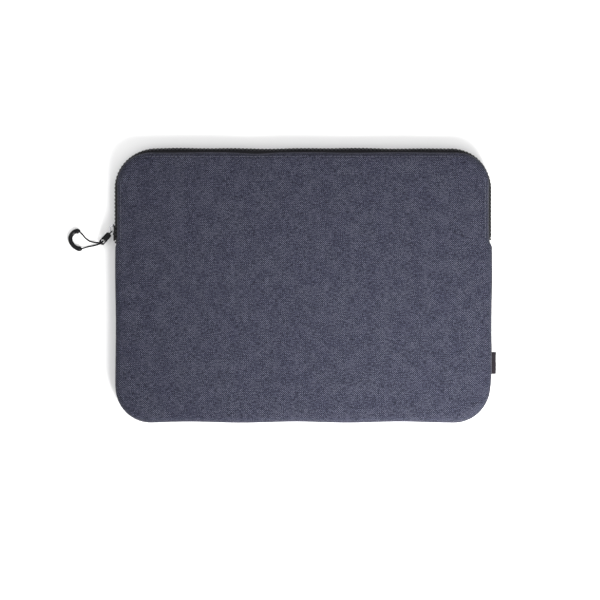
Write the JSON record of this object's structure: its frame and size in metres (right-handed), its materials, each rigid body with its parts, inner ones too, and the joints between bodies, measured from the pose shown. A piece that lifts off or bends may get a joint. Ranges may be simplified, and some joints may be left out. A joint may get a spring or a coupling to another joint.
{
  "type": "laptop sleeve",
  "caption": "Zipped padded laptop sleeve in heather grey weave, lying flat, with an opening upper flap, a sliding zip pull with a cord grip, and a woven side label.",
  "frame": {"origin": "middle of the back panel's flat outer face", "axes": "+X to the right along the longest side, +Y towards the zipped top edge, +Z out of the front panel"},
  "size_m": [0.3877, 0.2472, 0.025],
  "materials": {
    "weave": "matt heather plain weave",
    "foam": "matt closed-cell padding",
    "lining": "soft brushed knit",
    "zip_tape": "woven tape",
    "zip_teeth": "satin moulded",
    "slider_black": "satin black",
    "bail_chrome": "polished",
    "cord_braid": "braided",
    "grip_rubber": "smooth satin",
    "label_ribbon": "woven ribbon"
  },
  "bodies": {
    "case": {"back_shell": "weave", "back_foam": "foam", "back_lining": "lining", "front_shell_lower": "weave", "front_foam_lower": "foam", "front_lining_lower": "lining", "gusset_fabric": "weave", "gusset_lining": "lining", "back_zip_tape": "zip_tape", "front_zip_tape_left_end": "zip_tape", "front_zip_tape_right_end": "zip_tape", "back_teeth_row": "zip_teeth", "front_teeth_left_end": "zip_teeth", "front_teeth_right_end": "zip_teeth", "top_stop_front": "zip_teeth", "top_stop_back": "zip_teeth", "bottom_stop": "zip_teeth", "woven_label": "label_ribbon"},
    "front_flap": {"front_shell_flap": "weave", "front_foam_flap": "foam", "front_lining_flap": "lining", "front_zip_tape_flap": "zip_tape", "front_teeth_flap": "zip_teeth"},
    "slider": {"slider_body": "slider_black", "slider_bail": "bail_chrome"},
    "pull_tab": {"pull_tab": "slider_black"},
    "pull_loop": {"pull_cord": "cord_braid", "cord_grip": "grip_rubber"}
  },
  "joints": [
    {"name": "flap_fold", "type": "hinge", "parent": "case", "child": "front_flap", "pos_m": [0, 0.057, 0.025], "axis": [1, 0, 0], "range_deg": [0, 70]},
    {"name": "zip_slide", "type": "slide", "parent": "case", "child": "slider", "axis": [0, 1, 0], "range_m": [0, 0.034]},
    {"name": "tab_swing", "type": "hinge", "parent": "slider", "child": "pull_tab", "pos_m": [-0.17376, 0.04778, 0.0125], "axis": [0, 0, 1], "range_deg": [-35, 28]},
    {"name": "cord_swing", "type": "hinge", "parent": "pull_tab", "child": "pull_loop", "pos_m": [-0.18141, 0.03993, 0.0049], "axis": [0, 0, 1], "range_deg": [-20, 25]}
  ]
}
